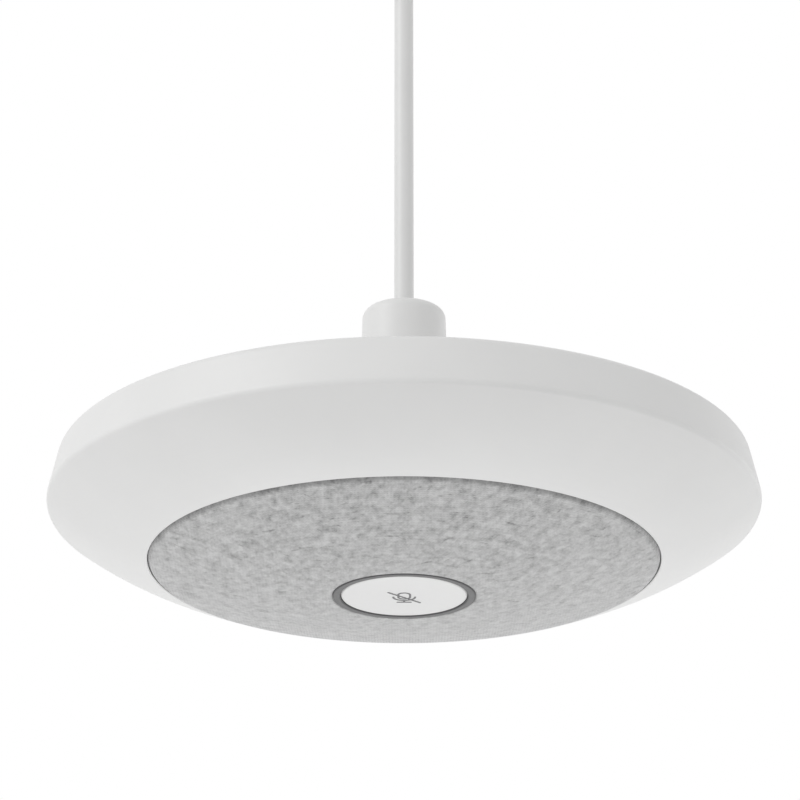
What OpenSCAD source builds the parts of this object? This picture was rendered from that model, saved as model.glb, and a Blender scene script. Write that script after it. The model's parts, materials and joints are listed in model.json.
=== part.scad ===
// Pendant conference speakerphone: a round pod with a fabric face, carried in a saucer-shaped
// pair of shells that hangs from a ceiling rose on its own data cable.
// The origin is the centre of the ceiling strap's upper face and +Z points into the ceiling.
// Inside the hanging unit, heights are counted from the plane of the lower shell's opening.

/* [Shells] */
// Widest diameter, across the lower shell's edge
body_d = 141.6; // [136:0.2:170]
// Diameter of the opening that the pod's face fills
opening_d = 101.4; // [98:0.2:108]
// Height of the widest edge above the opening
edge_z = 11.4; // [10:0.2:14]
// Radius of the widest edge
edge_round = 1.3; // [0.5:0.1:2]
// Outward bulge of the lower shell's underside
under_bulge = 0.8; // [0.4:0.1:1.6]
// Height of the band above the widest edge
band_h = 9.2; // [8.6:0.2:14]
// How far the band leans inwards over its height
band_lean = 2; // [1:0.1:3]
// Radius of the shoulder between the band and the top
shoulder_r = 1.6; // [1:0.1:2]
// Rise of the upper shell from the shoulder to the neck
dome_rise = 11.6; // [10:0.2:16]
// Upward bulge of the upper shell
dome_bulge = 1.6; // [0.8:0.1:3]
// Wall of the upper shell
upper_wall = 2.2; // [1.8:0.1:2.6]
// Wall of the lower shell
lower_wall = 2; // [1.6:0.1:2.4]
// Radius of the fillet between the upper shell and its neck
neck_fillet = 7.5; // [5:0.5:10]

/* [Twist lock] */
// Number of locking lugs
lug_count = 4; // [3:1:5]
// Angle that each lug spans
lug_angle = 20; // [12:1:24]
// Twist that frees the lower shell
release_angle = 24; // [22:1:30]

/* [Hub and cable] */
// Diameter of the hub at its foot
hub_d = 17.6; // [16:0.2:22]
// Height of the hub above the upper shell's neck
hub_h = 14.5; // [13.5:0.1:20]
// Draft of the hub over its height
hub_draft = 0.3; // [0:0.1:0.6]
// Radius of the hub's rounded shoulder
hub_round = 2; // [1:0.2:3]
// Diameter of the cable
cable_d = 4; // [3:0.2:4.4]
// Length of cable in sight between the hub and the ceiling gland
cable_run = 80; // [76:1:84]

/* [Ceiling rose] */
// Diameter of the rose's cover
rose_d = 70; // [64:1:90]
// Height of the rose's cover
rose_h = 22; // [20:1:26]
// Wall of the rose's cover
rose_wall = 2; // [1.4:0.1:2.4]
// Radius of the cover's lower edge
rose_round = 5; // [3:0.5:7]
// Diameter of the cable gland
gland_d = 14; // [13:0.5:18]
// Height of the gland below the cover
gland_h = 14; // [12:0.5:18]
// Width of the steel strap on the ceiling
strap_w = 18; // [16:1:22]
// Thickness of the steel strap
strap_t = 1.5; // [1:0.1:2]
// Distance between the two fixing slots
slot_spacing = 44; // [40:1:48]
// Width of each fixing slot
slot_w = 4.5; // [3.5:0.5:5]
// Length of each fixing slot
slot_l = 8; // [6:0.5:10]

/* [Pod] */
// Depth of the domed face below the opening
face_drop = 6.9; // [5.5:0.1:8]
// Depth of the face's rim below the opening
face_proud = 0.35; // [0:0.05:0.5]
// Thickness of the fabric
fabric_t = 0.6; // [0.4:0.1:1]
// Radius over which the fabric turns up at its rim
rim_round = 1.5; // [0.8:0.1:2]
// Wall of the dark trim ring that holds the fabric's edge
trim_w = 0.25; // [0.2:0.05:0.5]
// Gap between the trim ring and the lower shell
seam_gap = 0.25; // [0.2:0.05:0.6]
// Wall of the perforated grille
grille_wall = 1.6; // [1.2:0.1:2]
// Diameter of one hole in the grille
perf_d = 2.2; // [1.2:0.1:2.6]
// Pitch of the holes in the grille
perf_pitch = 4.4; // [4:0.2:8]
// Wall of the pod's base
base_wall = 2; // [1.6:0.1:2.4]
// Width of the ledge that carries the pod
ledge_w = 2.6; // [2:0.1:3.2]
// Height of the rubber foot ring
foot_h = 2.2; // [2.2:0.1:3]
// Thickness of the carrier plate
carrier_t = 1.5; // [1:0.1:2]
// Thickness of the main circuit board
board_t = 1.6; // [0.8:0.1:1.6]

/* [Mute button] */
// Diameter of the button
button_d = 25; // [22:0.2:25]
// Outer diameter of the light ring
light_ring_d = 28.2; // [27.8:0.2:30]
// Travel of the button
button_travel = 0.5; // [0.3:0.05:0.5]
// Number of lamps behind the light ring
led_count = 12; // [6:1:16]

/* [Loudspeakers and microphones] */
// Diameter of one loudspeaker
driver_d = 28; // [26:0.5:30]
// Depth of one loudspeaker behind its flange
driver_depth = 9.3; // [9:0.1:11]
// Travel of a cone to either side
cone_travel = 0.8; // [0.3:0.1:0.8]
// Number of microphones
mic_count = 4; // [3:1:4]
// Diameter of one microphone capsule
mic_d = 4; // [3:0.2:5]

/* [Hidden] */
$fn = 96;

// Clearances between neighbours
run_gap = 0.3;      // between pieces that move past each other
slip = 0.1;         // between pieces that are pushed together
cable_slip = 0.08;  // round the cable in its collets

// Widest edge, band and shoulder of the lower shell
edge_r = body_d / 2;
edge_c = [edge_r - edge_round, edge_z];
edge_start = -52;   // angle at which the underside meets the widest edge
band_top = edge_z + band_h;
band_tilt = atan(band_lean / band_h);
band_wall = lower_wall / cos(band_tilt);
shoulder_z = band_top - shoulder_r;
shoulder_c = [band_x(shoulder_z) - shoulder_r / cos(band_tilt), shoulder_z];
shoulder_end = 70;  // angle at which the shoulder meets the top

// Top and neck of the upper shell
hub_r = hub_d / 2;
dome_start = shoulder_c + shoulder_r * [cos(shoulder_end), sin(shoulder_end)];
dome_end_z = band_top + dome_rise;
dome_slope = atan((dome_end_z - dome_start[1]) / (dome_start[0] - hub_r - neck_fillet))
    - asin(2 * dome_bulge / (dome_start[0] - hub_r - neck_fillet)) * 2;
dome_end = [hub_r + neck_fillet * (1 - sin(dome_slope)), dome_end_z];
dome_c = bow_centre(dome_start, dome_end, dome_bulge);
dome_r = bow_radius(dome_start, dome_end, dome_bulge);
fillet_c = [hub_r + neck_fillet, dome_end_z + neck_fillet * cos(dome_slope)];
neck_top = fillet_c[1] + 0.8;
hub_top = neck_top + hub_h;
stem_r = hub_r - 2.1;
stem_top = hub_top - 7;
stem_bore_r = 4.6;
neck_bore_r = 5.4;

// Parting line between the shells, on the upper side just inside the shoulder
part_r = dome_start[0] - 1.2;
part_gap = 0.25;

// The whole unit hangs this far below the ceiling
drop = hub_top + cable_run + gland_h + rose_h;

// Underside of the lower shell
opening_r = opening_d / 2;
opening_round = 0.2;
under_start = [opening_r, 0];
under_end = edge_c + edge_round * [cos(edge_start), sin(edge_start)];
under_c = bow_centre(under_start, under_end, under_bulge);
under_r = bow_radius(under_start, under_end, under_bulge);
guide_r = opening_r + ledge_w;
rib_t = 1.4;
rib_count = 24;

// Dome of the pod's face
trim_r = opening_r - seam_gap;
fabric_r = trim_r - trim_w;
face_h = face_drop - face_proud;
face_r = (fabric_r * fabric_r + face_h * face_h) / (2 * face_h);
face_c = face_r - face_drop;
rim_slope = asin((fabric_r - rim_round) / (face_r - rim_round));
rim_c = [fabric_r - rim_round, face_c - (face_r - rim_round) * cos(rim_slope)];
trim_z = 0.6;
grille_r = fabric_r - fabric_t;
skirt_r = grille_r - grille_wall;

// Mute button, light ring and the board behind them
button_r = button_d / 2;
button_gap = 0.08;
light_in_r = button_r + button_gap;
light_out_r = light_ring_d / 2;
land_r = light_out_r + 2.3;
land_z = dome_under(land_r) + 0.05;
light_flange_t = 0.8;
light_flange_z = land_z + light_flange_t;
light_face_z = dome_face(light_out_r) - 0.03;
button_face_z = light_face_z - 0.07;
button_wall = 1.4;
button_in_z = button_face_z + button_wall;
button_board_t = 0.8;
button_board_z = light_flange_z + 1.05;
button_board_top = button_board_z + button_board_t;
button_board_r = land_r + 3.6;
button_post_r = land_r + 1.8;
led_size = [0.8, 1.6, 0.6];
switch_w = 4.6;
switch_h = 1.2;
plunger_r = 1.05;
plunger_in = 0.4;
stem_end_z = button_board_z - switch_h - 0.6;
stem_x = 2.2;
pad_rim_r = 8.6;
pad_foot_r = 6.6;
pad_w = 1.2;
pad_lip = 0.5;

// Loudspeakers, chassis and the pod's flange, stacked up from the dome
chassis_r = skirt_r - run_gap;
driver_r = driver_d / 2;
driver_x = chassis_r - 4.1 - driver_r;
driver_z = dome_under(driver_x + driver_r) + 0.2;
driver_flange_t = 1;
gasket_t = 0.5;
chassis_t = 1.6;
chassis_z = driver_z + driver_flange_t + gasket_t;
ledge_z = chassis_z + chassis_t;
flange_z = ledge_z + run_gap;
flange_t = 2;
flange_r = guide_r - 0.4;
guide_top = flange_z + flange_t + 2.6;
driver_back = driver_z + driver_flange_t + driver_depth;
yoke_r = 8;
yoke_in_r = 6.9;
pole_r = 5.6;
yoke_z = driver_back - 5.3;
coil_r = 6;
yoke_floor = 1.5;
coil_end = driver_back - yoke_floor - cone_travel - 0.6;
cone_r = driver_r - 4;
cone_z = driver_z + driver_flange_t;

// Main board, the roof of the pod and what stands on it
board_z = driver_back + 0.8;
board_top = board_z + board_t;
board_r = skirt_r - 9.2;
board_post = [15, 26];
roof_under = board_top + 1.4;
roof_z = roof_under + base_wall;
base_r = fabric_r - 0.2;
base_draft = 2.4;
base_round = 2;
pod_screw_r = skirt_r - 5.4;
pod_screw_count = 6;
pod_boss_r = 3.2;
socket_r = 6.2;
socket_h = 8;
plug_r = 4;
plug_body_r = 5;
foot_in_r = pod_screw_r - 3.6;
foot_out_r = pod_screw_r + 3.4;
carrier_z = roof_z + foot_h;
carrier_top = carrier_z + carrier_t;
carrier_r = foot_out_r + 0.5;
carrier_screw_r = foot_in_r - 3.4;
carrier_boss_r = 3.6;
pin_y = 33;
mic_ring_r = skirt_r - 8.4;
chip = [14, 14, 1.2];
chip_y = 12;
memory = [4, 8, 1];
memory_x = 11;
memory_y = 15;
can = [20, 16, 2.2];
can_y = -27;
can_wall = 0.3;
vent_count = 16;

// Twist lock: the upper shell's skirt has tabs outside, and the band has lugs inside
tab_r = part_r - 0.3;
lock_r = tab_r - 2;
lock_wall = 1.6;
lock_bottom = edge_z + 1;
tab_z = lock_bottom + 0.4;
tab_t = 1.6;
tab_angle = 2 * (release_angle - 2) - lug_angle;
lug_r = lock_r + run_gap + 0.1;
lug_z = tab_z + tab_t + 0.25;
lug_t = 1.75;

// Screws, as [radius, height] of each head, and how far each shank bites
screw_r = 1.2;
pilot_r = screw_r + 0.05;
screw_bite = 4;
cover_head = [2.6, 1.4];
carrier_head = [2.75, 1.7];
pod_head = [2.2, 1.6];
pod_seat = 2;
pod_bite = 1.8;
board_head = [1.8, 1];
board_screw_r = 0.8;
board_bite = 1.8;
button_head = [1.4, 0.8];
button_screw_r = 0.6;
button_bite = 1.2;
pin_r = 1.5;
pin_in = 1.6;

// Cable, its ends and the collets that grip it
cable_r = cable_d / 2;
CABLE_SIDES = 12;
CABLE_Z = [-17, -22, -27, -32, -37, -42, -47, -52, -57, -62, -67, -72, -77,
    -82, -87, -92, -97, -102, -107, -112, -117, -122, -127, -132, -137, -142];
pod_plug_top = drop + CABLE_Z[len(CABLE_Z) - 1];
collet_slots = 6;

// Ceiling rose
rose_r = rose_d / 2;
gland_r = gland_d / 2;
gland_thread_r = 6;
gland_nut_t = 3;
strap_end = sqrt(pow(rose_r - rose_wall - 0.5, 2) - strap_w * strap_w / 4);
strap_drop = 10;
cover_screw_z = -6;
link_r = 6.5;
link_h = 11.5;

// Radius of a circle through p and q that bulges by s to the right of the way from p to q
function bow_radius(p, q, s) = (pow(norm(q - p), 2) / 4 + s * s) / (2 * s);
function bow_centre(p, q, s) = let (d = (q - p) / norm(q - p))
    (p + q) / 2 - [d[1], -d[0]] * (bow_radius(p, q, s) - s);
function arc(c, r, a, b, n = 8) =
    [for (i = [0:n]) c + r * [cos(a + (b - a) * i / n), sin(a + (b - a) * i / n)]];

// Outer face of the band at height z, and heights of the curved walls at radius x
function band_x(z) = edge_c[0] + edge_round / cos(band_tilt) - (z - edge_z) * tan(band_tilt);
function dome_z(x, inset = 0) = dome_c[1] + sqrt(pow(dome_r - inset, 2) - pow(x - dome_c[0], 2));
function under_z(x, inset = 0) = under_c[1] - sqrt(pow(under_r - inset, 2) - pow(x - under_c[0], 2));
function dome_face(x, inset = 0) = face_c - sqrt(pow(face_r - inset, 2) - x * x);
function dome_under(x) = dome_face(x, fabric_t + grille_wall);
function dome_line(a, b, inset, n = 16) =
    [for (i = [0:n]) let (x = a + (b - a) * i / n) [x, dome_z(x, inset)]];
function under_line(a, b, inset, n = 12) =
    [for (i = [0:n]) let (x = a + (b - a) * i / n) [x, under_z(x, inset)]];

// Moves a piece that is drawn from the opening's plane to its place below the ceiling
module hung() translate([0, 0, -drop]) children();

// A tube or disc from z0 up to z1
module ring(r_out, r_in, z0, z1) {
    difference() {
        translate([0, 0, z0]) cylinder(r = r_out, h = z1 - z0);
        if (r_in > 0) translate([0, 0, z0 - 1]) cylinder(r = r_in, h = z1 - z0 + 2);
    }
}

// Copies of a piece round the axis
module around(count, radius, start = 0) {
    for (i = [0:count - 1]) rotate(start + i * 360 / count) translate([radius, 0, 0]) children();
}

// A pan-head screw with its head's bearing face at the origin and its shank along +Z;
// head is [radius, height]
module screw(head, shank, length) {
    round_r = head[1] * 0.6;
    difference() {
        union() {
            translate([0, 0, -head[1]]) rotate_extrude() polygon(concat([[0, 0]],
                arc([head[0] - round_r, round_r], round_r, -90, 0, 4),
                [[head[0], head[1]], [0, head[1]]]));
            cylinder(r = shank, h = length);
        }
        translate([0, 0, -head[1] - 1]) cylinder(r = head[0] / 2, h = 1 + head[1] * 0.55, $fn = 6);
    }
}

// A split collet that grips the cable: a sleeve with a conical head on top
module collet(sleeve_r, sleeve_h, head_r, head_h) {
    difference() {
        rotate_extrude() polygon([[cable_r + cable_slip, 0], [sleeve_r, 0], [sleeve_r, sleeve_h],
            [head_r, sleeve_h], [head_r, sleeve_h + 0.8], [cable_r + 1.2, sleeve_h + head_h],
            [cable_r + cable_slip, sleeve_h + head_h]]);
        for (i = [0:collet_slots / 2 - 1]) rotate(i * 360 / collet_slots)
            translate([-head_r - 1, -0.4, sleeve_h * 0.4])
                cube([2 * head_r + 2, 0.8, sleeve_h + head_h]);
    }
}

// A round plug: nose of length nose_l up to the shoulder, body, and a tapered tail
module plug(nose_l, body_l, tail_l) {
    rotate_extrude() polygon([[0, -nose_l], [plug_r - 0.5, -nose_l], [plug_r, 0.5 - nose_l],
        [plug_r, 0], [plug_body_r, 0], [plug_body_r, body_l], [plug_body_r - 0.6, body_l + 0.5],
        [cable_r + 0.7, body_l + tail_l], [0, body_l + tail_l]]);
    // Grip rings round the body
    for (i = [1:3]) ring(plug_body_r + 0.25, plug_body_r - 0.5, body_l * i / 4 - 0.4, body_l * i / 4 + 0.4);
}

/* ---- Ceiling rose ---- */

module ceiling_strap() color("silver") difference() {
    union() {
        translate([-strap_end, -strap_w / 2, -strap_t]) cube([2 * strap_end, strap_w, strap_t]);
        for (side = [-1, 1]) translate([side * (strap_end - strap_t / 2) - strap_t / 2,
            -strap_w / 3, -strap_drop]) cube([strap_t, strap_w * 2 / 3, strap_drop]);
    }
    for (side = [-1, 1]) translate([side * slot_spacing / 2, 0, 0]) fixing_slot();
    translate([0, 0, -strap_t - 1]) cylinder(r = link_r + slip, h = strap_t + 2);
    for (side = [-1, 1]) translate([side * strap_end, 0, cover_screw_z])
        rotate([0, 90, 0]) cylinder(r = pilot_r, h = 4 * strap_t, center = true);
}

module fixing_slot() {
    translate([-(slot_l - slot_w) / 2, -slot_w / 2, -strap_t - 1])
        cube([slot_l - slot_w, slot_w, strap_t + 2]);
    for (side = [-1, 1]) translate([side * (slot_l - slot_w) / 2, 0, -strap_t - 1])
        cylinder(d = slot_w, h = strap_t + 2);
}

module link_socket() color("dimgray") difference() {
    union() {
        ring(link_r, 0, -link_h, 0);
        ring(link_r + 1.9, 0, -strap_t - 1.5, -strap_t);
    }
    translate([0, 0, -4.5]) cylinder(r = plug_r + slip, h = 6);
    translate([0, 0, -link_h - 1]) cylinder(r = plug_r + slip, h = 6.6);
}

module ceiling_cover() color("white") difference() {
    rotate_extrude() polygon(concat([[gland_thread_r + slip, -rose_h]],
        arc([rose_r - rose_round, rose_round - rose_h], rose_round, -90, 0),
        [[rose_r, 0], [rose_r - rose_wall, 0]],
        arc([rose_r - rose_round, rose_round - rose_h], rose_round - rose_wall, 0, -90),
        [[gland_thread_r + slip, rose_wall - rose_h]]));
    for (side = [-1, 1]) translate([side * rose_r, 0, cover_screw_z])
        rotate([0, 90, 0]) cylinder(r = screw_r + 0.4, h = 4 * rose_wall, center = true);
}

module cover_screws() color("silver") for (side = [-1, 1])
    translate([side * rose_r, 0, cover_screw_z]) rotate([0, -90 * side, 0])
        screw(cover_head, screw_r, rose_r - strap_end + strap_t + 1);

module gland_body() color("white") translate([0, 0, -rose_h]) difference() {
    rotate_extrude() polygon(concat([[cable_r + slip, -gland_h]],
        arc([gland_r - 0.3 - hub_round, hub_round - gland_h], hub_round, -90, 0),
        [[gland_r, 0], [gland_thread_r, 0], [gland_thread_r, rose_wall + gland_nut_t],
        [cable_r + slip, rose_wall + gland_nut_t]]));
    translate([0, 0, -gland_h + 3]) rotate_extrude()
        polygon([[0, 0], [cable_r + 1.3, 0], [4.6, 2.8], [4.6, gland_h - 3], [0, gland_h - 3]]);
}

module gland_collet() color("gainsboro") translate([0, 0, -rose_h - 0.4])
    mirror([0, 0, 1]) collet(4.4, gland_h - 7.4, 4.4, 3);

module gland_nut() color("silver") translate([0, 0, rose_wall - rose_h]) difference() {
    cylinder(r = gland_thread_r + 3.4, h = gland_nut_t, $fn = 6);
    translate([0, 0, -1]) cylinder(r = gland_thread_r + 0.05, h = gland_nut_t + 2);
}

module ceiling_plug() color("dimgray") translate([0, 0, -link_h]) mirror([0, 0, 1])
    plug(5, 3.5, -link_h - CABLE_Z[0] - 3.5);

/* ---- Cable ---- */

module cable() color("whitesmoke") {
    n = CABLE_SIDES;
    last = len(CABLE_Z) - 1;
    points = [for (z = CABLE_Z, i = [0:n - 1])
        [cable_r * cos(i * 360 / n), cable_r * sin(i * 360 / n), z]];
    sides = [for (k = [0:last - 1], i = [0:n - 1])
        [k * n + i, k * n + (i + 1) % n, (k + 1) * n + (i + 1) % n, (k + 1) * n + i]];
    polyhedron(points, concat(sides, [[for (i = [n - 1:-1:0]) i], [for (i = [0:n - 1]) last * n + i]]));
}

/* ---- Hub and shells ---- */

module hub_collar() color("white") hung() difference() {
    rotate_extrude() polygon(concat([[0, neck_top], [hub_r, neck_top]],
        arc([hub_r - hub_draft - hub_round, hub_top - hub_round], hub_round, 0, 90),
        [[0, hub_top]]));
    translate([0, 0, neck_top - 1]) cylinder(r = stem_r + 0.05, h = stem_top - neck_top + 1.2);
    translate([0, 0, stem_top]) rotate_extrude() polygon([[0, 0], [stem_r, 0], [stem_r, 1.2],
        [cable_r + 1.6, 5], [0, 5]]);
    translate([0, 0, neck_top]) cylinder(r = cable_r + slip, h = hub_h + 1);
}

module hub_collet() color("gainsboro") hung() translate([0, 0, stem_top - 5.9])
    collet(stem_bore_r - 0.1, 6, stem_r - 0.2, 4.4);

// Top of the upper shell, from the parting line in to the neck
function shell_top(inset) = concat(
    dome_line(part_r - part_gap, dome_end[0], inset),
    arc(fillet_c - [0, inset], neck_fillet, 270 - dome_slope, 180));

module upper_fill(inset) rotate_extrude() polygon(concat(
    [[0, lock_bottom], [part_r - part_gap, lock_bottom]], shell_top(inset),
    [[hub_r, neck_top - inset], [0, neck_top - inset]]));

module upper_shell() color("white") hung() {
    difference() {
        union() {
            difference() {
                upper_fill(0);
                rotate_extrude() polygon(concat([[0, lock_bottom - 1], [edge_r, lock_bottom - 1]],
                    dome_line(edge_r, hub_r + 3, upper_wall), [[0, dome_z(hub_r + 3, upper_wall)]]));
            }
            ring(stem_r, 0, neck_top - 2, stem_top);
            intersection() {
                upper_fill(upper_wall / 2);
                union() {
                    around(4, carrier_screw_r, 45) translate([0, 0, carrier_top])
                        cylinder(r = carrier_boss_r, h = neck_top);
                    ring(neck_bore_r + 2, 0, carrier_top + 8.2, neck_top);
                    ring(lock_r, lock_r - lock_wall, lock_bottom, neck_top);
                    for (i = [0:7]) rotate(i * 45 + 22.5)
                        translate([hub_r, -rib_t / 2, carrier_top + 0.6])
                            cube([lock_r - hub_r - 0.5, rib_t, neck_top]);
                }
            }
        }
        translate([0, 0, carrier_z]) cylinder(r = neck_bore_r, h = neck_top - 3 - carrier_z);
        translate([0, 0, neck_top - 3.5]) cylinder(r = stem_bore_r, h = stem_top);
        around(4, carrier_screw_r, 45) translate([0, 0, carrier_top - 1])
            cylinder(r = pilot_r, h = screw_bite + 1.6);
    }
    // Tabs that carry the lugs, each with a stop at one end
    for (i = [0:lug_count - 1]) rotate(i * 360 / lug_count - tab_angle / 2) {
        sector(lock_r - lock_wall / 2, tab_r, tab_z, tab_t, tab_angle);
        sector(lock_r - lock_wall / 2, tab_r, tab_z + tab_t, lug_t, 1.3);
    }
}

// Piece of a ring with a square section
module sector(r_in, r_out, z, h, angle) translate([0, 0, z])
    rotate_extrude(angle = angle) translate([r_in, 0]) square([r_out - r_in, h]);

module lower_shell() color("white") hung() {
    rotate_extrude() polygon(concat(
        // Outside: opening, underside, widest edge, band, shoulder, parting line
        [[opening_r, ledge_z], [opening_r, opening_round]],
        under_line(opening_r + opening_round, under_end[0], 0),
        arc(edge_c, edge_round, edge_start, band_tilt, 12),
        arc(shoulder_c, shoulder_r, band_tilt, shoulder_end, 12),
        [[part_r, dome_z(part_r)], [part_r, dome_z(part_r, lower_wall)]],
        // Inside: band, underside, ledge
        [[band_x(dome_z(part_r, lower_wall) - 1) - band_wall, dome_z(part_r, lower_wall) - 1]],
        [[band_x(edge_z) - band_wall, edge_z]], shell_inside()));
    ring(guide_r + rib_t, guide_r, under_z(guide_r, lower_wall / 2), guide_top);
    for (i = [0:rib_count - 1]) rotate(i * 360 / rib_count) lower_rib();
    for (i = [0:lug_count - 1]) rotate(i * 360 / lug_count - lug_angle / 2)
        sector(lug_r, band_x(lug_z) - band_wall / 2, lug_z, lug_t, lug_angle);
}

// Inside of the underside, from below the widest edge back to the ledge
function shell_inside() = let (a = edge_r - band_wall - 1.2)
    concat(under_line(a, guide_r, lower_wall), [[guide_r, ledge_z]]);

module lower_rib() {
    a = guide_r + rib_t / 2;
    b = lock_r - 1;
    rotate([90, 0, 0]) translate([0, 0, -rib_t / 2]) linear_extrude(rib_t) polygon(concat(
        under_line(a, b, lower_wall / 2, 6),
        [[b, under_z(b, lower_wall) + 1], [a, guide_top - 1.6]]));
}

module carrier_plate() color("silver") hung() difference() {
    ring(carrier_r, 10, carrier_z, carrier_top);
    around(4, carrier_screw_r, 45) translate([0, 0, carrier_z - 1])
        cylinder(r = screw_r + 0.5, h = carrier_t + 2);
    for (side = [-1, 1]) translate([0, side * pin_y, carrier_z - 1])
        cylinder(r = pin_r, h = carrier_t + 2);
    // Windows between the spokes
    for (i = [0:3]) rotate(i * 90 + 22) carrier_window(16, carrier_screw_r - 7, 46);
}

module carrier_window(r_in, r_out, angle) translate([0, 0, carrier_z - 1])
    rotate_extrude(angle = angle) polygon([[r_in, 0], [r_out, 0], [r_out, carrier_t + 2],
        [r_in, carrier_t + 2]]);

module carrier_screws() color("silver") hung() around(4, carrier_screw_r, 45)
    translate([0, 0, carrier_z]) screw(carrier_head, screw_r, carrier_t + screw_bite);

module locating_pins() color("silver") hung() for (side = [-1, 1])
    translate([0, side * pin_y, roof_z - pin_in])
        rotate_extrude() polygon([[0, 0], [pin_r - 0.5, 0], [pin_r, 0.5],
            [pin_r, carrier_top - roof_z + pin_in], [0, carrier_top - roof_z + pin_in]]);

module pod_plug() color("dimgray") hung() translate([0, 0, roof_z])
    plug(5.5, pod_plug_top - roof_z - 3, 3);

/* ---- Pod housing ---- */

module pod_base() color("whitesmoke") hung() difference() {
    union() {
        difference() {
            rotate_extrude() polygon(concat([[0, flange_z], [flange_r, flange_z],
                [flange_r, flange_z + flange_t], [base_r, flange_z + flange_t]],
                arc([base_r - base_draft - base_round, roof_z - base_round], base_round, 0, 90),
                [[0, roof_z]]));
            rotate_extrude() polygon([[0, flange_z - 1], [skirt_r, flange_z - 1],
                [skirt_r, flange_z + flange_t], [base_r - base_draft - base_wall, roof_under],
                [0, roof_under]]);
        }
        around(pod_screw_count, pod_screw_r, 30) translate([0, 0, ledge_z])
            cylinder(r = pod_boss_r, h = roof_under + 1 - ledge_z);
        board_posts() translate([0, 0, board_top]) cylinder(r = 2.4, h = roof_under + 1 - board_top);
    }
    translate([0, 0, roof_under - 1]) cylinder(r = socket_r + 0.2, h = base_wall + 2);
    around(pod_screw_count, pod_screw_r, 30) {
        translate([0, 0, ledge_z - 1]) cylinder(r = screw_r + 0.15, h = pod_seat + 8);
        translate([0, 0, ledge_z + pod_seat]) cylinder(r = pod_head[0] + 0.1, h = roof_z);
    }
    board_posts() translate([0, 0, board_top - 1]) cylinder(r = board_screw_r + 0.05, h = 3);
    for (side = [-1, 1]) translate([0, side * pin_y, roof_z - pin_in - 0.2])
        cylinder(r = pin_r + 0.05, h = 4);
    // Vents in the roof
    around(vent_count, 0, 180 / vent_count) translate([11, -0.8, roof_under - 1])
        cube([12, 1.6, base_wall + 2]);
}

module board_posts() for (sx = [-1, 1], sy = [-1, 1])
    translate([sx * board_post[0], sy * board_post[1], 0]) children();

module foot_ring() color("dimgray") hung() rotate_extrude() polygon([[foot_in_r, roof_z],
    [foot_out_r, roof_z], [foot_out_r - 0.4, carrier_z], [foot_in_r + 0.4, carrier_z]]);

module pod_screws() color("silver") hung() around(pod_screw_count, pod_screw_r, 30)
    translate([0, 0, ledge_z + pod_seat]) mirror([0, 0, 1])
        screw(pod_head, screw_r, pod_seat + chassis_t + pod_bite);

// Solid under the dome and its rounded rim, moved in by inset and cut off at the top
module face_fill(inset, top = flange_z) {
    r = max(rim_round - inset, 0.1);
    start = rim_c + r * [sin(rim_slope), -cos(rim_slope)];
    intersection() {
        translate([0, 0, face_c]) sphere(r = face_r - inset, $fn = 360);
        rotate_extrude() polygon(concat([[0, start[1] - start[0] * tan(rim_slope)]],
            arc(rim_c, r, rim_slope - 90, 0), [[rim_c[0] + r, top], [0, top]]));
    }
}

module grille() color("gray") hung() difference() {
    union() {
        difference() {
            face_fill(fabric_t);
            translate([0, 0, face_c]) intersection() {
                sphere(r = face_r - fabric_t - grille_wall, $fn = 360);
                cylinder(r = skirt_r, h = face_r * 2, center = true);
            }
        }
        intersection() {
            face_fill(fabric_t + grille_wall / 2);
            union() {
                ring(land_r, 0, -face_drop, land_z);
                around(pod_screw_count, pod_screw_r, 30) translate([0, 0, -face_drop])
                    cylinder(r = 2.6, h = face_drop + chassis_z);
                around(3, button_post_r, 90) translate([0, 0, -face_drop])
                    cylinder(r = 1.5, h = face_drop + button_board_z);
            }
        }
    }
    translate([0, 0, -face_drop - 1]) cylinder(r = light_out_r + slip, h = face_drop);
    around(pod_screw_count, pod_screw_r, 30) translate([0, 0, chassis_z - 2])
        cylinder(r = pilot_r, h = 3);
    around(3, button_post_r, 90) translate([0, 0, button_board_z - button_bite - 0.2])
        cylinder(r = button_screw_r + 0.05, h = 2);
    perforations();
}

// Rings of holes between the light ring and the posts, each square to the dome
module perforations() {
    first = land_r + 4.6;
    rings = floor((pod_screw_r - 4.5 - first) / perf_pitch);
    for (k = [0:rings]) {
        r = first + k * perf_pitch;
        count = floor(2 * PI * r / perf_pitch);
        for (i = [0:count - 1]) translate([0, 0, face_c])
            rotate([0, -asin(r / face_r), k * 7 + i * 360 / count]) translate([0, 0, -face_r - 1])
                cylinder(d = perf_d, h = grille_wall + fabric_t + 3, $fn = 24);
    }
}

module fabric_cover() color("lightgray") hung() difference() {
    face_fill(0);
    face_fill(fabric_t - 0.02, flange_z + 1);
    translate([0, 0, -face_drop - 1]) cylinder(r = light_out_r + slip, h = face_drop + 1);
}

// Holds the fabric's edge against the grille and shows as a dark line
module face_trim() color("dimgray") hung() ring(trim_r, fabric_r + 0.02, trim_z, flange_z);

module chassis() color("dimgray") hung() difference() {
    ring(chassis_r, 12, chassis_z, ledge_z);
    for (side = [-1, 1]) translate([side * driver_x, 0, chassis_z - 1])
        cylinder(r = driver_r - 1.2, h = chassis_t + 2);
    around(pod_screw_count, pod_screw_r, 30) translate([0, 0, chassis_z - 1])
        cylinder(r = screw_r + 0.2, h = chassis_t + 2);
    around(mic_count, mic_ring_r, 45) translate([0, 0, chassis_z - 1])
        cylinder(r = mic_d / 2 + 1.3, h = chassis_t + 2);
}

/* ---- Mute button ---- */

module light_ring() color("dimgray") hung() rotate_extrude() polygon([[light_in_r, light_face_z + 0.2],
    [light_in_r + 0.2, light_face_z], [light_out_r - 0.2, light_face_z],
    [light_out_r, light_face_z + 0.2], [light_out_r, land_z], [land_r, land_z],
    [land_r, light_flange_z], [light_in_r, light_flange_z]]);

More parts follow.
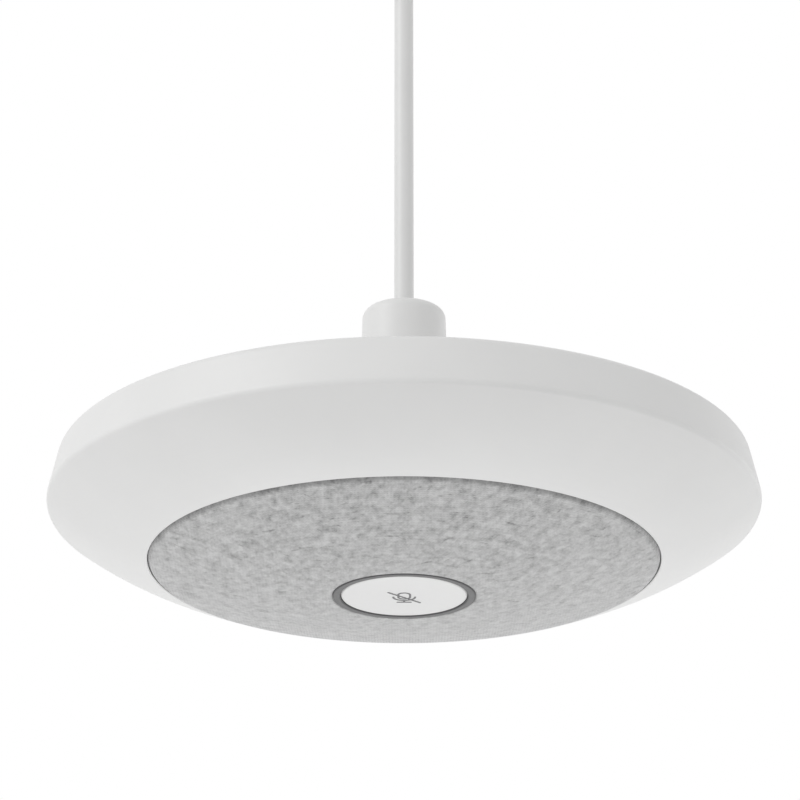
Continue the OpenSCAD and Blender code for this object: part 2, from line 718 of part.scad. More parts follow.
module mute_button() color("white") hung() {
    rotate_extrude() polygon(concat([[0, button_face_z], [button_r * 0.6, button_face_z],
        [button_r - 1, button_face_z + 0.1]],
        arc([button_r - 0.5, button_face_z + 0.65], 0.5, -80, 0, 4),
        [[button_r, light_flange_z - 0.4], [button_r - 1, light_flange_z - 0.4],
        [button_r - 1, button_in_z], [stem_x, button_in_z], [stem_x, stem_end_z], [0, stem_end_z]]));
    // Hooks that keep the button in the light ring
    for (i = [0:2]) rotate(i * 120 + 25) {
        rotate_extrude(angle = 16) translate([button_r - 0.9, button_in_z])
            square([0.6, light_flange_z + 0.3 - button_in_z]);
        rotate_extrude(angle = 16) translate([button_r - 0.4, light_flange_z + 0.1])
            square([1, 0.25]);
    }
}

module switch_plunger() color("saddlebrown") hung() ring(plunger_r, 0, stem_end_z,
    button_board_z - switch_h + plunger_in);

module tact_switch() color("silver") hung() difference() {
    translate([-switch_w / 2, -switch_w / 2, button_board_z - switch_h])
        cube([switch_w, switch_w, switch_h]);
    translate([0, 0, button_board_z - switch_h - 1]) cylinder(r = plunger_r + 0.08,
        h = 1 + plunger_in + button_travel + 0.1);
}

module return_pad() color("lightgray") hung() rotate_extrude() polygon([
    [pad_rim_r - pad_w, button_in_z], [pad_rim_r, button_in_z], [pad_rim_r, button_in_z + pad_lip],
    [pad_foot_r, button_board_z - pad_lip], [pad_foot_r, button_board_z],
    [pad_foot_r - pad_w, button_board_z], [pad_foot_r - pad_w, button_board_z - pad_lip],
    [pad_rim_r - pad_w, button_in_z + pad_lip]]);

module button_board() color("darkgreen") hung() difference() {
    ring(button_board_r, 0, button_board_z, button_board_top);
    around(3, button_post_r, 90) translate([0, 0, button_board_z - 1])
        cylinder(r = button_screw_r + 0.3, h = button_board_t + 2);
}

module button_board_screws() color("silver") hung() around(3, button_post_r, 90)
    translate([0, 0, button_board_top]) mirror([0, 0, 1])
        screw(button_head, button_screw_r, button_board_t + button_bite);

module indicator_leds() color("lightyellow") hung()
    around(led_count, (light_in_r + light_out_r) / 2 + 0.2, 15)
        translate([-led_size[0] / 2, -led_size[1] / 2, button_board_z - led_size[2]]) cube(led_size);

/* ---- Electronics ---- */

module main_board() color("darkgreen") hung() difference() {
    ring(board_r, socket_r + slip, board_z, board_top);
    board_posts() translate([0, 0, board_z - 1]) cylinder(r = board_screw_r + 0.3, h = board_t + 2);
}

module main_board_screws() color("silver") hung() board_posts()
    translate([0, 0, board_z]) screw(board_head, board_screw_r, board_t + board_bite);

module processor() color("black") hung() {
    translate([-chip[0] / 2, chip_y, board_z - chip[2]]) cube(chip);
    for (side = [-1, 1]) translate([side * memory_x - memory[0] / 2, memory_y, board_z - memory[2]])
        cube(memory);
}

module shield_can() color("silver") hung() translate([-can[0] / 2, can_y, board_z - can[2]])
    difference() {
        cube(can);
        translate([can_wall, can_wall, can_wall]) cube(can - [2 * can_wall, 2 * can_wall, 0]);
    }

// A folded strip from the button board up to the main board, through the chassis
module ribbon_cable() color("peru") hung() translate([-4, 0, 0]) rotate([90, 0, 90])
    linear_extrude(8) polygon([[9, button_board_top], [9.3, button_board_top],
        [9.3, button_board_top + 3], [11.3, button_board_top + 6], [11.3, board_z],
        [11, board_z], [11, button_board_top + 6.1], [9, button_board_top + 3.1]]);

module pod_socket() color("dimgray") hung() difference() {
    union() {
        ring(socket_r, 0, roof_z - socket_h, roof_z);
        ring(socket_r + 1.3, 0, board_z - 1.1, board_z);
    }
    translate([0, 0, roof_z - socket_h + 1.2]) cylinder(r = plug_r + slip, h = socket_h);
}

module contact_pins() color("gold") hung() around(8, 2.6) translate([0, 0, roof_z - socket_h + 1.2])
    cylinder(r = 0.3, h = 1);

module mic_boots() color("dimgray") hung() around(mic_count, mic_ring_r, 45) difference() {
    union() {
        ring(mic_d / 2 + 1.2, 0, dome_under(mic_ring_r + mic_d / 2 + 1.2) + 0.2, ledge_z + 0.9);
        ring(mic_d / 2 + 2, 0, chassis_z - 0.8, chassis_z);
    }
    translate([0, 0, chassis_z - 0.6]) cylinder(r = mic_d / 2 + 0.05, h = 5);
    cylinder(r = 0.6, h = 10, center = true);
}

module mic_capsules() color("silver") hung() around(mic_count, mic_ring_r, 45) difference() {
    ring(mic_d / 2, 0, chassis_z - 0.6, chassis_z + 1.4);
    translate([0, 0, chassis_z - 1.1]) cylinder(r = 0.5, h = 1);
}

/* ---- Loudspeakers ---- */

module both_drivers() for (side = [-1, 1]) translate([side * driver_x, 0, 0]) children();

module driver_baskets() color("dimgray") hung() both_drivers() difference() {
    rotate_extrude() polygon([[driver_r - 1.8, driver_z], [driver_r, driver_z], [driver_r, cone_z],
        [driver_r - 1.4, cone_z], [yoke_r + 1.2, yoke_z], [yoke_r + 1.2, yoke_z + 1],
        [yoke_r + 0.05, yoke_z + 1], [yoke_r + 0.05, yoke_z - 0.4], [driver_r - 2.4, cone_z],
        [driver_r - 1.8, cone_z - 0.2]]);
    for (i = [0:5]) rotate(i * 60) translate([yoke_r + 1.6, -2.2, cone_z + 0.8])
        cube([driver_r, 4.4, yoke_z - cone_z - 1.4]);
}

module driver_yokes() color("silver") hung() both_drivers() difference() {
    ring(yoke_r, 0, yoke_z, driver_back);
    translate([0, 0, yoke_z - 1]) cylinder(r = yoke_in_r, h = driver_back - yoke_floor - yoke_z + 1);
}

module driver_magnets() color("gray") hung() both_drivers() {
    ring(pole_r, 0, yoke_z, yoke_z + 1.3);
    ring(pole_r - 0.2, 0, yoke_z + 1.3, driver_back - yoke_floor);
}

module driver_gaskets() color("black") hung() both_drivers()
    ring(driver_r, driver_r - 1.1, cone_z, chassis_z);

// Paper cone with the former of its coil
module cone() rotate_extrude() polygon([[cone_r, cone_z - 0.3], [cone_r, cone_z],
    [coil_r + 0.2, cone_z + 2.2], [coil_r + 0.2, coil_end], [coil_r, coil_end],
    [coil_r, cone_z + 1.9], [cone_r - 0.5, cone_z - 0.3]]);

module coil() ring(coil_r + 0.5, coil_r + 0.2, yoke_z + 0.2, coil_end);

module dust_cap() rotate_extrude() polygon([[0, cone_z + 0.6], [2.4, cone_z + 0.8],
    [coil_r - 1.6, cone_z + 1.3], [coil_r, cone_z + 2.1], [coil_r, cone_z + 2.4],
    [coil_r - 1.8, cone_z + 1.6], [2.3, cone_z + 1.1], [0, cone_z + 0.9]]);

// Rolled edge between the cone and the basket
module surround() {
    mid = (cone_r + driver_r - 1.8) / 2;
    roll = (driver_r - 1.8 - cone_r) / 2;
    translate([0, 0, cone_z - 0.3]) rotate_extrude() polygon(concat(
        arc([mid, 0], roll - 0.05, 180, 360), arc([mid, 0], roll - 0.35, 360, 180)));
}

module at_left() hung() translate([-driver_x, 0, 0]) children();
module at_right() hung() translate([driver_x, 0, 0]) children();

module left_cone() color("dimgray") at_left() cone();
module right_cone() color("dimgray") at_right() cone();
module left_coil() color("peru") at_left() coil();
module right_coil() color("peru") at_right() coil();
module left_dust_cap() color("gray") at_left() dust_cap();
module right_dust_cap() color("gray") at_right() dust_cap();
module left_surround() color("black") at_left() surround();
module right_surround() color("black") at_right() surround();

ceiling_strap();
link_socket();
ceiling_cover();
cover_screws();
gland_body();
gland_nut();
gland_collet();
ceiling_plug();
cable();
hub_collar();
hub_collet();
upper_shell();
carrier_plate();
carrier_screws();
locating_pins();
lower_shell();
pod_plug();
pod_base();
foot_ring();
pod_screws();
grille();
fabric_cover();
face_trim();
chassis();
light_ring();
mute_button();
switch_plunger();
return_pad();
button_board();
button_board_screws();
indicator_leds();
tact_switch();
ribbon_cable();
main_board();
main_board_screws();
processor();
shield_can();
pod_socket();
contact_pins();
mic_boots();
mic_capsules();
driver_baskets();
driver_yokes();
driver_magnets();
driver_gaskets();
left_cone();
right_cone();
left_coil();
right_coil();
left_dust_cap();
right_dust_cap();
left_surround();
right_surround();
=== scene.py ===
"""Pendant conference speakerphone: materials, fabric face, cable, mute symbol, light and camera.

The scene is in metres. Lengths that are written in millimetres are multiplied by MM.
"""
import json
import math

import bmesh
import bpy
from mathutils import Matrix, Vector


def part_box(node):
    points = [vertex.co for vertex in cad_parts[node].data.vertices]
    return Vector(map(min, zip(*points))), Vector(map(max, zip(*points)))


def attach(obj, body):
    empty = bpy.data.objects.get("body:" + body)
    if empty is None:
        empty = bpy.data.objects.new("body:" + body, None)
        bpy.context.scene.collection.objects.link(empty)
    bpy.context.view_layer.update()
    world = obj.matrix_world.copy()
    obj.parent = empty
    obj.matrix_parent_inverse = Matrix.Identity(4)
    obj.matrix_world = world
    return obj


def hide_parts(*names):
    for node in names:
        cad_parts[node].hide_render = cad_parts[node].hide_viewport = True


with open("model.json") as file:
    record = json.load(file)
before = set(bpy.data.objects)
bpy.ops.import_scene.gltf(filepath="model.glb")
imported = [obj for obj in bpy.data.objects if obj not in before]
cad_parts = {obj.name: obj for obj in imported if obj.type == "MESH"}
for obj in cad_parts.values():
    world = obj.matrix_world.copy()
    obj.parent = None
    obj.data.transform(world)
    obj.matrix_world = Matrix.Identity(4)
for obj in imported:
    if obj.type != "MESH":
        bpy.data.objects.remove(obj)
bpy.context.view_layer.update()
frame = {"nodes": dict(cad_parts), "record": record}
nodes = frame["nodes"]
scene = bpy.context.scene

MM = 0.001
HUB_TOP = 54.964                                    # mm from the opening up to the hub's top
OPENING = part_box("hub_collar")[1].z - HUB_TOP * MM  # plane of the lower shell's opening
FACE_R = 195.64                                     # radius of the pod's dome, in mm
FACE_DROP = 6.9                                     # depth of the dome below the opening, in mm


def up(mm):
    """Height in the frame of a point that is so many mm above the opening."""
    return OPENING + mm * MM


def dome(r, out=0.0):
    """Height above the opening, in mm, of the dome at radius r, moved outwards by out."""
    return FACE_R - FACE_DROP - math.sqrt((FACE_R + out) ** 2 - r * r)


# ---------------------------------------------------------------- camera

CAMERA_AT = (-0.82 * MM, -569.26 * MM, up(-192.41))
CAMERA_PITCH = 21.81                                # degrees above the horizon
SENSOR, LENS = 36, 136.57


def make_camera():
    """Looks up at the pod from in front of it and a little below."""
    camera = bpy.data.objects.new("camera", bpy.data.cameras.new("camera"))
    scene.collection.objects.link(camera)
    scene.camera = camera
    camera.data.sensor_width = SENSOR
    camera.data.lens = LENS
    camera.data.clip_start = 0.01
    camera.location = CAMERA_AT
    camera.rotation_euler = (math.radians(90 + CAMERA_PITCH), 0, 0)


make_camera()

# ---------------------------------------------------------------- shader helpers


class Shader:
    """A material's node tree, with short calls for the nodes that the surfaces are made of."""

    def __init__(self, name):
        self.mat = bpy.data.materials.new(name)
        self.mat.use_nodes = True
        self.tree = self.mat.node_tree
        self.bsdf = self.tree.nodes["Principled BSDF"]
        self.space = self.node("ShaderNodeTexCoord").outputs["Object"]

    def node(self, kind, **values):
        """A new node; each value goes to its input of that name, or else to its property."""
        n = self.tree.nodes.new(kind)
        for key, value in values.items():
            if key in n.inputs:
                n.inputs[key].default_value = value
            else:
                setattr(n, key, value)
        return n

    def link(self, a, b):
        self.tree.links.new(a, b)

    def feed(self, **sockets):
        """Links a texture to each named input of the surface."""
        for key, socket in sockets.items():
            self.link(socket, self.bsdf.inputs[key.replace("_", " ")])

    def set(self, **values):
        """Sets each named input of the surface to a constant."""
        for key, value in values.items():
            self.bsdf.inputs[key.replace("_", " ")].default_value = value

    def stretched(self, scale, turn=0.0):
        """Object space turned about Z and then scaled, so that the pattern's grain turns too."""
        m = self.node("ShaderNodeMapping", vector_type="TEXTURE")
        m.inputs["Scale"].default_value = [1 / k for k in scale]
        m.inputs["Rotation"].default_value = (0, 0, turn)
        self.link(self.space, m.inputs["Vector"])
        return m.outputs["Vector"]

    def noise(self, scale, detail=2.0, rough=0.5, space=None, distort=0.0):
        n = self.node("ShaderNodeTexNoise", Scale=scale, Detail=detail, Roughness=rough,
                      Distortion=distort)
        self.link(space or self.space, n.inputs["Vector"])
        return n.outputs["Fac"]

    def math(self, operation, a, b):
        """The result of an operation on two sockets, or on a socket and a number."""
        n = self.node("ShaderNodeMath", operation=operation)
        for socket, value in zip(n.inputs, (a, b)):
            if isinstance(value, (int, float)):
                socket.default_value = value
            else:
                self.link(value, socket)
        return n.outputs["Value"]

    def weighted(self, *parts):
        """The sum of some sockets, each times its weight."""
        total, *others = [self.math("MULTIPLY", socket, weight) for socket, weight in parts]
        for other in others:
            total = self.math("ADD", total, other)
        return total

    def span(self, value, low, high, to_low, to_high):
        """Maps low to high on to to_low to to_high, and clamps the rest."""
        n = self.node("ShaderNodeMapRange")
        for i, v in enumerate((low, high, to_low, to_high), 1):
            n.inputs[i].default_value = v
        self.link(value, n.inputs[0])
        return n.outputs[0]

    def ramp(self, fac, stops):
        """A colour for each value, through stops of (place, colour)."""
        n = self.node("ShaderNodeValToRGB")
        while len(n.color_ramp.elements) < len(stops):
            n.color_ramp.elements.new(0.5)
        for element, (place, colour) in zip(n.color_ramp.elements, stops):
            element.position = place
            element.color = (*colour, 1)
        self.link(fac, n.inputs["Fac"])
        return n.outputs["Color"]

    def shaded(self, colour, painted_shade):
        """A colour multiplied by a shade."""
        n = self.node("ShaderNodeMix", data_type="RGBA", blend_type="MULTIPLY")
        factor, a, b, result = n.inputs[0], n.inputs[6], n.inputs[7], n.outputs[2]
        factor.default_value = 1.0
        self.link(colour, a)
        self.link(painted_shade, b)
        return result

    def bump(self, height, distance, strength=1.0, under=None):
        """A normal for a height; under is the normal that it is laid over."""
        n = self.node("ShaderNodeBump", Strength=strength, Distance=distance)
        self.link(height, n.inputs["Height"])
        if under is not None:
            self.link(under, n.inputs["Normal"])
        return n.outputs["Normal"]


def grey(v):
    return (v, v, v)


def tint(colour, k):
    """A colour made k times as light."""
    return tuple(min(1.0, c * k) for c in colour)


def straight_rays(tree):
    """1 for the rays that show the background itself: camera, glossy and transmission rays."""
    rays = tree.nodes.new("ShaderNodeLightPath").outputs
    mask = rays["Is Camera Ray"]
    for kind in ("Is Glossy Ray", "Is Transmission Ray"):
        either = tree.nodes.new("ShaderNodeMath")
        either.operation = "MAXIMUM"
        tree.links.new(mask, either.inputs[0])
        tree.links.new(rays[kind], either.inputs[1])
        mask = either.outputs["Value"]
    return mask


# ---------------------------------------------------------------- materials

YARN_PITCH = 0.612                                          # mm from one yarn to the next
FLECKS = {0.5: (580, 390, 600), -0.15: (560, 400, 600)}     # scale of the flecks, by their angle
HAIR_TURNS = (-0.75, -0.1, 0.5)                             # angles of the hairs, in radians


def moulded(name, colour, rough, grain=2600, depth=0.012, mottle=0.015, spread=0.05, **more):
    """Moulded plastic: spark-eroded grain, a slow unevenness, and slight changes of gloss.

    grain is the number of grains in a metre, and depth is their relief in mm. mottle and spread
    are how far the colour and the roughness vary.
    """
    s = Shader(name)
    slow, fine = s.noise(38, 3, 0.6), s.noise(grain, 2.5, 0.55)
    wide = s.bump(s.noise(120, 1, 0.5), 0.02 * MM, 0.5)
    s.feed(Base_Color=s.ramp(slow, [(0.3, tint(colour, 1 - mottle)), (0.7, tint(colour, 1 + mottle))]),
           Roughness=s.span(s.noise(900, 3, 0.6), 0.3, 0.7, rough - spread, rough + spread),
           Normal=s.bump(fine, depth * MM, 1.0, wide))
    s.set(**more)
    return s.mat


def plated(name, colour, rough, stretch=(60, 2600, 2600)):
    """Rolled or drawn metal: slight clouding, and fine lines along the axis of lowest stretch."""
    s = Shader(name)
    lines = s.noise(1.0, 3, 0.6, s.stretched(stretch))
    cloud = s.noise(140, 3, 0.6)
    s.feed(Base_Color=s.ramp(cloud, [(0.3, tint(colour, 0.9)), (0.7, tint(colour, 1.06))]),
           Roughness=s.span(lines, 0.25, 0.75, rough - 0.08, rough + 0.1),
           Normal=s.bump(lines, 0.006 * MM))
    s.set(Metallic=1.0)
    return s.mat


def plain_weave(s):
    """Height of two crossed sets of yarns, from 0 to 1."""
    sets = []
    for turn in (0, math.pi / 2):
        # A wave texture has 10 / pi bands in each unit of its scaled space
        w = s.node("ShaderNodeTexWave", wave_type="BANDS", bands_direction="X",
                   Scale=math.pi / 10 / (YARN_PITCH * MM), Distortion=1.2, Detail=2)
        w.inputs["Detail Scale"].default_value = 2.0
        s.link(s.stretched((1, 1, 1), turn), w.inputs["Vector"])
        sets.append(w.outputs["Fac"])
    return s.math("MAXIMUM", *sets)


def melange(name):
    """Woven melange: light and dark fibres twisted into yarns, over a fine plain weave."""
    s = Shader(name)
    # Short flecks of fibre in two directions, with a few long dark hairs among them
    along, across = [s.noise(1.0, 3, 0.6, s.stretched(scale, turn), 0.3)
                     for turn, scale in FLECKS.items()]
    patch = s.noise(210, 3, 0.6)
    speck = s.noise(1.0, 2, 0.6, s.stretched((1500, 800, 1500)))
    mix = s.weighted((along, 0.38), (across, 0.3), (patch, 0.12), (speck, 0.2))
    for turn in HAIR_TURNS:
        hair = s.noise(1.0, 2, 0.5, s.stretched((260, 800, 600), turn), 0.5)
        mix = s.math("SUBTRACT", mix, s.span(hair, 0.33, 0.25, 0.0, 0.1))
    colour = s.ramp(mix, [(0.34, grey(0.225)), (0.44, grey(0.40)), (0.5, grey(0.485)),
                          (0.6, grey(0.61))])
    weave = plain_weave(s)
    # Painted shade: the turned-in rim is darkened as its normal tilts away from straight down, and the
    # low places of the weave a little too
    normal = s.node("ShaderNodeSeparateXYZ")
    s.link(s.node("ShaderNodeTexCoord").outputs["Normal"], normal.inputs[0])
    painted_shade = s.math("MULTIPLY", s.span(normal.outputs["Z"], -0.96, -0.7, 1.0, 0.75),
                   s.span(weave, 0.2, 1.0, 0.94, 1.02))
    fibres = s.bump(mix, 0.12 * MM, 0.8)
    s.feed(Base_Color=s.shaded(colour, painted_shade),
           Roughness=s.span(patch, 0.3, 0.7, 0.84, 0.95),
           Normal=s.bump(weave, 0.08 * MM, 0.7, fibres))
    s.set(Sheen_Weight=1.0, Sheen_Roughness=0.38, Specular_IOR_Level=0.2)
    return s.mat


def board(name, colour):
    """Solder mask: copper areas show through as a lighter tone, with pads along them."""
    s = Shader(name)
    cells = s.node("ShaderNodeTexVoronoi", distance="MANHATTAN", Scale=320)
    s.link(s.space, cells.inputs["Vector"])
    distance = cells.outputs["Distance"]
    s.feed(Base_Color=s.ramp(distance, [(0.2, tint(colour, 1.7)), (0.3, colour)]),
           Roughness=s.span(s.noise(500), 0.3, 0.7, 0.25, 0.4),
           Normal=s.bump(distance, 0.03 * MM, 0.4))
    return s.mat


LOOKS = {
    "shell_white": moulded("shell_white", (0.80, 0.80, 0.795), 0.42),
    "button_white": moulded("button_white", (0.75, 0.75, 0.746), 0.36, depth=0.005, mottle=0.008),
    "cable_white": moulded("cable_white", (0.76, 0.76, 0.755), 0.38, grain=1500, depth=0.01),
    "fabric_melange": melange("fabric_melange"),
    "ring_grey": moulded("ring_grey", (0.09, 0.09, 0.092), 0.42, depth=0.004, mottle=0.05,
                         Specular_IOR_Level=0.38),
    # The trim ring that clamps the fabric is a real part; its dark grey paints the shade in the seam gap
    # round the fabric's edge
    "trim_dark": moulded("trim_dark", (0.2, 0.2, 0.202), 0.5, depth=0.006, mottle=0.08),
    "grille_grey": moulded("grille_grey", (0.30, 0.30, 0.30), 0.5),
    "steel": plated("steel", (0.66, 0.67, 0.69), 0.32),
    "inner_white": moulded("inner_white", (0.68, 0.68, 0.67), 0.45),
    "dark_plastic": moulded("dark_plastic", (0.045, 0.045, 0.048), 0.42, mottle=0.12),
    "dark_rubber": moulded("dark_rubber", (0.03, 0.03, 0.03), 0.72, grain=1800, mottle=0.15),
    "silicone": moulded("silicone", (0.62, 0.62, 0.6), 0.5, Subsurface_Weight=0.2,
                        Subsurface_Scale=0.001),
    "lamp_clear": moulded("lamp_clear", (0.85, 0.83, 0.62), 0.15, depth=0.002,
                          Transmission_Weight=0.3),
    "board_green": board("board_green", (0.02, 0.14, 0.055)),
    "polyimide": moulded("polyimide", (0.5, 0.22, 0.04), 0.3, depth=0.003, mottle=0.1),
    "gold": plated("gold", (0.9, 0.66, 0.28), 0.22),
    "copper": plated("copper", (0.85, 0.42, 0.24), 0.3, (2600, 2600, 9000)),
    "paper_cone": moulded("paper_cone", (0.05, 0.05, 0.05), 0.8, grain=1400, depth=0.03,
                          mottle=0.2),
}
SYMBOL_INK = moulded("symbol_ink", (0.13, 0.13, 0.135), 0.5, depth=0.003, mottle=0.04)
SMOOTH = math.radians(28)   # faces that meet at a sharper angle keep their edge


def dress(obj, look):
    """Gives a mesh its material and smooth faces with the edges kept."""
    obj.data.materials.clear()
    obj.data.materials.append(look)
    obj.data.polygons.foreach_set("use_smooth", [True] * len(obj.data.polygons))
    obj.data.set_sharp_from_angle(angle=SMOOTH)


for part in frame["record"]["subparts"]:
    dress(nodes[part["node"]], LOOKS[part["material_slot"]])

# ---------------------------------------------------------------- mesh helpers


def piece(name, verts, faces, body, slot, look=None):
    """A mesh of the scene's own, with its faces outwards; it rides on a body."""
    mesh = bpy.data.meshes.new(name)
    mesh.from_pydata(verts, [], faces)
    shape = bmesh.new()
    shape.from_mesh(mesh)
    bmesh.ops.recalc_face_normals(shape, faces=shape.faces)
    shape.to_mesh(mesh)
    shape.free()
    obj = bpy.data.objects.new(name, mesh)
    scene.collection.objects.link(obj)
    dress(obj, look or LOOKS[slot])
    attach(obj, body)
    return obj


def arc(centre, r, a, b, n):
    """Points of an arc from a to b degrees, both ends included."""
    angles = [math.radians(a + (b - a) * i / n) for i in range(n + 1)]
    return [(centre[0] + r * math.cos(t), centre[1] + r * math.sin(t)) for t in angles]


def lathe(profile, steps):
    """Closed ring through profile points (radius, height above the opening), in mm."""
    verts, faces = [], []
    turns = [2 * math.pi * i / steps for i in range(steps)]
    for r, z in profile:
        verts.extend((r * MM * math.cos(t), r * MM * math.sin(t), up(z)) for t in turns)
    rows = [range(k * steps, (k + 1) * steps) for k in range(len(profile))]
    for a, b in zip(rows, rows[1:] + rows[:1]):
        faces.extend([a[i], a[i - steps + 1], b[i - steps + 1], b[i]] for i in range(steps))
    return verts, faces


# ---------------------------------------------------------------- cable

CABLE_D = 4 * MM
ROUTE = [(0, 0, z * MM) for z in range(-17, -143, -5)]


def make_cable():
    """Taut cable from the plug in the ceiling rose to the plug in the hub."""
    curve = bpy.data.curves.new("cable_jacket", "CURVE")
    curve.dimensions = "3D"
    curve.bevel_depth = CABLE_D / 2
    curve.bevel_resolution = 12
    curve.use_fill_caps = True
    spline = curve.splines.new("POLY")
    spline.points.add(len(ROUTE) - 1)
    for point, place in zip(spline.points, ROUTE):
        point.co = (*place, 1)
    cable = bpy.data.objects.new("cable_jacket", curve)
    scene.collection.objects.link(cable)
    cable.data.materials.append(LOOKS["cable_white"])
    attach(cable, "unit")
    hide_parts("cable")


make_cable()

# ---------------------------------------------------------------- fabric face

FABRIC_R = 50.55            # the rim bulges a little below the trim ring that clamps it
FABRIC_T = 0.6
BACK = FABRIC_T - 0.02      # depth of the fabric's back, just off the grille
TURN = 1.5                  # radius of the turned rim
HOLE_R = 14.12              # hole for the light ring
HOLE_TURN = 0.4             # rounding of the hole's edge
CLAMP_R = 50.2              # radius of the fabric where the trim ring holds it
CLAMP_Z = 0.55              # height at which the trim ring begins
CLAMP_STEP = 0.04           # the fabric steps inwards over this height
FLANGE = (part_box("fabric_cover")[1].z - OPENING) / MM
FABRIC_STEPS = 512          # facets round the axis


def fabric_profile():
    """The fabric's section: over the face from the hole to the rim, and back on its inside."""
    slope = math.degrees(math.asin((FABRIC_R - TURN) / (FACE_R - TURN)))
    rim_r = FABRIC_R - TURN
    rim_z = FACE_R - FACE_DROP - (FACE_R - TURN) * math.cos(math.radians(slope))
    start = HOLE_R + HOLE_TURN
    stop = FACE_R * math.sin(math.radians(slope))
    clamp_angle = math.degrees(math.asin((CLAMP_Z - rim_z) / TURN))
    face = arc((start, dome(start, -HOLE_TURN)), HOLE_TURN, 180, 275, 8)
    face += [(r, dome(r)) for r in (start + (stop - start) * i / 90 for i in range(91))]
    face += arc((rim_r, rim_z), TURN, slope - 90, clamp_angle, 24)[1:]
    face += [(CLAMP_R, CLAMP_Z + CLAMP_STEP), (CLAMP_R, FLANGE)]
    back = [(CLAMP_R - BACK, FLANGE)]
    back += arc((rim_r - FABRIC_R + CLAMP_R, rim_z), TURN - BACK, 0, slope - 90, 10)
    back += [(r, dome(r, -BACK)) for r in (47, 44, 40, 35, 30, 25, 20, HOLE_R)]
    return face + back


def make_fabric():
    """Fabric stretched over the domed grille, with its edge under the trim ring."""
    fabric = piece("fabric_face", *lathe(fabric_profile(), FABRIC_STEPS), "unit", "fabric_melange")
    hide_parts("fabric_cover")


make_fabric()

# ---------------------------------------------------------------- mute symbol

BUTTON_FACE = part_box("mute_button")[0].z
STROKE = 0.42 * MM          # width of the symbol's lines
RELIEF = 0.05 * MM          # how far they stand off the button
SUNK = 0.02 * MM            # how deep they go into it
LAYER = 0.004 * MM          # each line stands this much further off than the one before
END_STEPS = 8               # facets of a line's round end


def stroke(verts, faces, line, lift):
    """A ribbon of even width along a line on the button's face; open lines get round ends."""
    line = [Vector(p) for p in line]
    closed = line[0] == line[-1]
    if closed:
        line.pop()
    half, count = STROKE / 2, len(line)

    def add(points):
        """Adds points on both levels and returns their numbers, above and below."""
        n = len(verts)
        for z in (BUTTON_FACE + SUNK, BUTTON_FACE - RELIEF - lift):
            verts.extend((p.x, p.y, z) for p in points)
        return list(range(n, n + len(points))), list(range(n + len(points), len(verts)))

    rows = []
    for i, p in enumerate(line):
        before = line[i - 1] if closed or i else p
        after = line[(i + 1) % count] if closed or i + 1 < count else p
        d = (after - before).normalized() * half
        rows.append(add([p + Vector((-d.y, d.x)), p - Vector((-d.y, d.x))]))
    for (a, a_low), (b, b_low) in zip(rows, rows[1:] + (rows[:1] if closed else [])):
        faces.extend([[a[0], b[0], b[1], a[1]], [a_low[0], a_low[1], b_low[1], b_low[0]],
                      [a[0], a_low[0], b_low[0], b[0]], [a[1], b[1], b_low[1], a_low[1]]])
    # Each end point with its neighbour, and the side where its round end begins
    ends = [] if closed else [(-1, -2, 0), (0, 1, 1)]
    for end, inner, side in ends:
        d = (line[end] - line[inner]).normalized() * half
        across = Vector((-d.y, d.x))
        angles = [math.pi * k / END_STEPS for k in range(1, END_STEPS)]
        fan, fan_low = add([line[end] + d * math.sin(t) + across * math.cos(t) for t in angles])
        top, low = rows[end]
        top = [top[side]] + fan + [top[1 - side]]
        low = [low[side]] + fan_low + [low[1 - side]]
        faces.extend([top, low[::-1]])
        faces.extend([top[k], low[k], low[k + 1], top[k + 1]] for k in range(END_STEPS))


def on_face(points):
    """Places points of the drawing, in mm, with its top towards a reader below the pod."""
    return [(x * MM, -y * MM) for x, y in points]


def make_symbol():
    """Generic microphone with a stroke through it."""
    capsule_r, capsule_h, capsule_z = 1.15, 1.5, 0.2
    capsule = arc((0, capsule_z + capsule_h), capsule_r, 0, 180, 16)
    capsule += arc((0, capsule_z), capsule_r, 180, 360, 16)
    holder = arc((0, 0.3), 2.15, 180, 360, 24)
    stem = [(0, -1.85), (0, -2.75)]
    foot = [(-1.3, -2.95), (1.3, -2.95)]
    slash = [(-3.1, 3.1), (3.1, -3.2)]
    verts, faces = [], []
    for i, line in enumerate([capsule + capsule[:1], holder, stem, foot, slash]):
        stroke(verts, faces, on_face(line), LAYER * i)
    piece("mute_symbol", verts, faces, "mute_button", "ring_grey", SYMBOL_INK)


make_symbol()

# ---------------------------------------------------------------- floor, light and background

FLOOR_Z, FLOOR_HALF = -1.5, 6.0
FADE_FROM, FADE_TO = 2.0, 5.5   # between these radii the floor fades into the background
FADE_NEAR = 0.6                 # share of the background's white that the floor has before that
AMBIENT = 0.68                  # strength of the even light from all round
AIM = (0, 0, up(10))
LAMP_SIZE = 0.9
# Each lamp's place in metres and its power in watts
LAMPS = {
    "key_high": ((-1.3, -0.9, 0.75), 7.4),
    "left": ((-1.5, -0.1, -0.15), 1.6),
    "right_back": ((1.2, 0.9, 0.0), 1.9),
    "low_back": ((0.0, 0.9, -1.15), 4.9),
    "low_front": ((-0.2, -1.1, -1.1), 1.5),
}


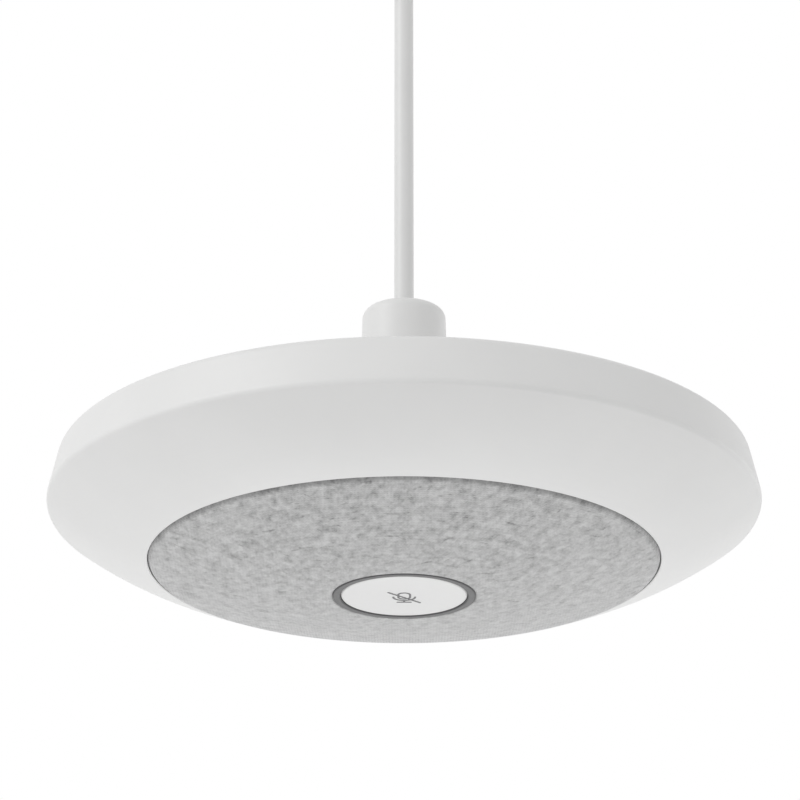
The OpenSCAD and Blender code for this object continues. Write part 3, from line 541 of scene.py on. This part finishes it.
def pale_floor():
    """Pale matt floor that the camera sees fade to white, while it keeps the unit's shadow."""
    s = Shader("pale_floor")
    s.feed(Base_Color=s.ramp(s.noise(3), [(0.3, grey(0.86)), (0.7, grey(0.88))]))
    s.set(Roughness=0.9)
    white = s.node("ShaderNodeEmission", Strength=1.0)
    distance = s.node("ShaderNodeVectorMath", operation="LENGTH")
    s.link(s.space, distance.inputs[0])
    fade = s.span(distance.outputs["Value"], FADE_FROM, FADE_TO, FADE_NEAR, 1.0)
    mixed = s.node("ShaderNodeMixShader")
    s.link(s.math("MULTIPLY", straight_rays(s.tree), fade), mixed.inputs[0])
    s.link(s.bsdf.outputs[0], mixed.inputs[1])
    s.link(white.outputs[0], mixed.inputs[2])
    s.link(mixed.outputs[0], s.tree.nodes["Material Output"].inputs["Surface"])
    return s.mat


def make_floor():
    """A square floor far below the pendant."""
    corners = [(-1, -1), (1, -1), (1, 1), (-1, 1)]
    mesh = bpy.data.meshes.new("floor")
    mesh.from_pydata([(x * FLOOR_HALF, y * FLOOR_HALF, FLOOR_Z) for x, y in corners], [], [(0, 1, 2, 3)])
    mesh.materials.append(pale_floor())
    floor = bpy.data.objects.new("floor", mesh)
    scene.collection.objects.link(floor)


def make_world():
    """Even light all round, in front of a white background."""
    world = bpy.data.worlds.new("studio")
    scene.world = world
    world.use_nodes = True
    tree = world.node_tree
    level = tree.nodes.new("ShaderNodeMapRange")
    level.inputs["To Min"].default_value = AMBIENT
    level.inputs["To Max"].default_value = 1.0
    background = tree.nodes["Background"]
    background.inputs["Color"].default_value = (1, 1, 1, 1)
    tree.links.new(straight_rays(tree), level.inputs["Value"])
    tree.links.new(level.outputs[0], background.inputs["Strength"])


def make_lamp(name, place, power):
    """A soft square lamp that points at the unit."""
    data = bpy.data.lights.new(name, "AREA")
    data.shape = "SQUARE"
    data.size = LAMP_SIZE
    data.energy = power
    lamp = bpy.data.objects.new(name, data)
    scene.collection.objects.link(lamp)
    lamp.location = place
    lamp.rotation_euler = (Vector(AIM) - Vector(place)).to_track_quat("-Z", "Y").to_euler()


make_floor()
make_world()
for name, (place, power) in LAMPS.items():
    make_lamp(name, place, power)

scene.view_settings.view_transform = "Standard"
